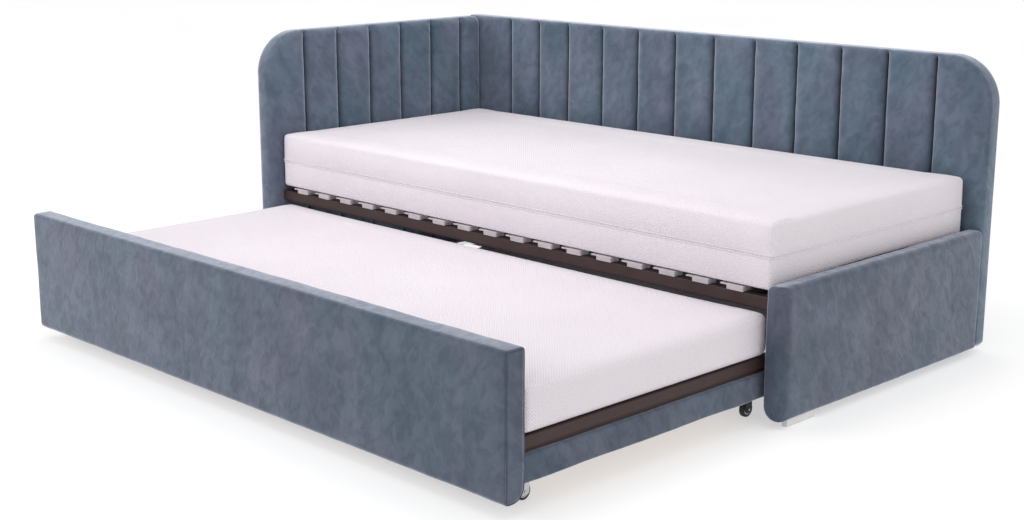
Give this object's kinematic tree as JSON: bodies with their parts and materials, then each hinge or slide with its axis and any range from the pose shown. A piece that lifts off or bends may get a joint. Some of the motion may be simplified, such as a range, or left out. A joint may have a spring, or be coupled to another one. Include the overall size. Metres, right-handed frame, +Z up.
{
  "type": "trundle bed",
  "caption": "Upholstered day bed with channelled head and back panels, a sprung-slat base and a second bed on casters that rolls out from underneath.",
  "frame": {"origin": "on the floor, under the middle of the bed with its trundle drawn out", "axes": "+X from the head end to the foot end, +Y from the drawn-out trundle to the back panel, +Z up"},
  "size_m": [2.163, 1.914, 0.862],
  "materials": {
    "velvet": "blue-grey short-pile velvet over foam",
    "ticking": "off-white knitted mattress ticking",
    "brown_steel": "dark brown satin powder coat",
    "slat_wood": "pale foil-wrapped sprung slat",
    "slat_cap": "light grey moulded plastic",
    "pine": "planed pine",
    "white_nylon": "matt pale nylon",
    "black_rubber": "black tread",
    "zinc": "zinc plated steel"
  },
  "bodies": {
    "bed": {"back_pad": "velvet", "back_panel": "velvet", "bed_bracket_front_foot": "brown_steel", "bed_bracket_front_head": "brown_steel", "bed_bracket_rear_foot": "brown_steel", "bed_bracket_rear_head": "brown_steel", "bed_rail_foot": "brown_steel", "bed_rail_front": "brown_steel", "bed_rail_head": "brown_steel", "bed_rail_rear": "brown_steel", "bed_slat_01": "slat_wood", "bed_slat_02": "slat_wood", "bed_slat_03": "slat_wood", "bed_slat_04": "slat_wood", "bed_slat_05": "slat_wood", "bed_slat_06": "slat_wood", "bed_slat_07": "slat_wood", "bed_slat_08": "slat_wood", "bed_slat_09": "slat_wood", "bed_slat_10": "slat_wood", "bed_slat_11": "slat_wood", "bed_slat_12": "slat_wood", "bed_slat_13": "slat_wood", "bed_slat_14": "slat_wood", "bed_slat_15": "slat_wood", "bed_slat_16": "slat_wood", "bed_slat_17": "slat_wood", "foot_panel": "velvet", "head_pad": "velvet", "head_panel": "velvet", "skid_front_foot": "white_nylon", "skid_front_head": "white_nylon", "skid_rear_foot": "white_nylon", "skid_rear_head": "white_nylon", "upper_mattress": "ticking"},
    "trundle": {"caster_axle_front_foot": "zinc", "caster_axle_front_head": "zinc", "caster_axle_rear_foot": "zinc", "caster_axle_rear_head": "zinc", "caster_fork_front_foot": "zinc", "caster_fork_front_head": "zinc", "caster_fork_rear_foot": "zinc", "caster_fork_rear_head": "zinc", "trundle_bearer_foot": "pine", "trundle_bearer_head": "pine", "trundle_front_panel": "velvet", "trundle_mattress": "ticking", "trundle_rail_centre": "brown_steel", "trundle_rail_foot": "brown_steel", "trundle_rail_front": "brown_steel", "trundle_rail_head": "brown_steel", "trundle_rail_rear": "brown_steel", "trundle_rear_board": "velvet", "trundle_side_foot": "velvet", "trundle_side_head": "velvet", "trundle_slats": "pine"},
    "wheel_front_foot": {"caster_wheel_front_foot": "black_rubber"},
    "wheel_front_head": {"caster_wheel_front_head": "black_rubber"},
    "wheel_rear_foot": {"caster_wheel_rear_foot": "black_rubber"},
    "wheel_rear_head": {"caster_wheel_rear_head": "black_rubber"}
  },
  "joints": [
    {"name": "trundle_slide", "type": "slide", "parent": "bed", "child": "trundle", "axis": [0, 1, 0], "range_m": [0, 0.85]},
    {"name": "wheel_spin_front_foot", "type": "hinge", "parent": "trundle", "child": "wheel_front_foot", "pos_m": [0.9465, -0.8327, 0.021], "axis": [1, 0, 0], "continuous": true},
    {"name": "wheel_spin_front_head", "type": "hinge", "parent": "trundle", "child": "wheel_front_head", "pos_m": [-0.9175, -0.8327, 0.021], "axis": [1, 0, 0], "continuous": true},
    {"name": "wheel_spin_rear_foot", "type": "hinge", "parent": "trundle", "child": "wheel_rear_foot", "pos_m": [0.9465, -0.0187, 0.021], "axis": [1, 0, 0], "continuous": true},
    {"name": "wheel_spin_rear_head", "type": "hinge", "parent": "trundle", "child": "wheel_rear_head", "pos_m": [-0.9175, -0.0187, 0.021], "axis": [1, 0, 0], "continuous": true}
  ]
}
